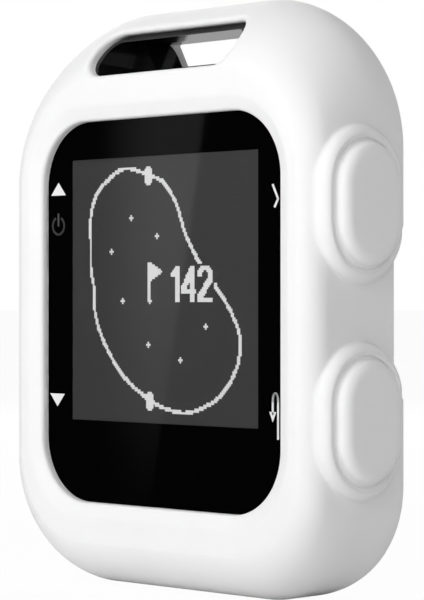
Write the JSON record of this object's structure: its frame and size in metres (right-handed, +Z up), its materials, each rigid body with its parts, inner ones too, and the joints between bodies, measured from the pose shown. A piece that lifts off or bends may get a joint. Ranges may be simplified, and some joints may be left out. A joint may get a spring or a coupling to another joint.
{
  "type": "handheld golf gps receiver",
  "caption": "Pocket golf GPS receiver in a soft silicone jacket, with a square display, side buttons, a lanyard slot through its top and a capped charging port on the back.",
  "frame": {"origin": "middle of the jacket's bounding box, on the surface that it stands on", "axes": "screen faces -Y, +X to the right of the screen as it is read, +Z up towards the lanyard slot"},
  "size_m": [0.0574, 0.0162, 0.071],
  "materials": {
    "silicone": "soft matt moulded silicone",
    "shell_plastic": "glossy moulded plastic",
    "seal_rubber": "matt",
    "screw_steel": "plated",
    "cover_glass": "polished",
    "tape": "matt",
    "display": "polariser film",
    "light_guide": "diffuse",
    "carrier_plastic": "fine spark",
    "flex_film": "polyimide film",
    "connector_plastic": "matt",
    "board": "solder mask",
    "ceramic": "fired ceramic",
    "chip_plastic": "mould compound",
    "can_steel": "tinned",
    "cell_foil": "laminated foil",
    "wire_rubber": "insulation",
    "cap_rubber": "matt",
    "key_plastic": "matt"
  },
  "bodies": {
    "receiver": {"silicone_jacket": "silicone", "front_housing": "shell_plastic", "rear_housing": "shell_plastic", "housing_gasket": "seal_rubber", "housing_screws": "screw_steel", "cover_glass": "cover_glass", "glass_tape": "tape", "lcd_panel": "display", "backlight": "light_guide", "lcd_carrier": "carrier_plastic", "lcd_flex": "flex_film", "flex_socket": "connector_plastic", "circuit_board": "board", "gps_antenna": "ceramic", "processor": "chip_plastic", "processor_shield": "can_steel", "battery_socket": "connector_plastic", "battery": "cell_foil", "battery_tape": "tape", "battery_lead": "wire_rubber", "usb_socket": "can_steel", "up_key_seal": "seal_rubber", "up_switch": "can_steel", "down_key_seal": "seal_rubber", "down_switch": "can_steel", "ok_key_seal": "seal_rubber", "ok_switch": "can_steel", "back_key_seal": "seal_rubber", "back_switch": "can_steel"},
    "up_button": {"up_button_pad": "silicone", "up_key": "key_plastic", "up_switch_plunger": "key_plastic"},
    "down_button": {"down_button_pad": "silicone", "down_key": "key_plastic", "down_switch_plunger": "key_plastic"},
    "ok_button": {"ok_button_pad": "silicone", "ok_key": "key_plastic", "ok_switch_plunger": "key_plastic"},
    "back_button": {"back_button_pad": "silicone", "back_key": "key_plastic", "back_switch_plunger": "key_plastic"},
    "port_cap": {"port_cap": "cap_rubber"}
  },
  "joints": [
    {"name": "up_press", "type": "slide", "parent": "receiver", "child": "up_button", "axis": [1, 0, 0], "range_m": [0, 0.0004], "stiffness_N_per_m": 1500, "springref_m": -0.0006},
    {"name": "down_press", "type": "slide", "parent": "receiver", "child": "down_button", "axis": [1, 0, 0], "range_m": [0, 0.0004], "stiffness_N_per_m": 1500, "springref_m": -0.0006},
    {"name": "ok_press", "type": "slide", "parent": "receiver", "child": "ok_button", "axis": [-1, 0, 0], "range_m": [0, 0.0004], "stiffness_N_per_m": 1500, "springref_m": -0.0006},
    {"name": "back_press", "type": "slide", "parent": "receiver", "child": "back_button", "axis": [-1, 0, 0], "range_m": [0, 0.0004], "stiffness_N_per_m": 1500, "springref_m": -0.0006},
    {"name": "cap_hinge", "type": "hinge", "parent": "receiver", "child": "port_cap", "pos_m": [-0.0065, 0.00645, 0.029], "axis": [0, 0, 1], "range_deg": [0, 110]}
  ]
}
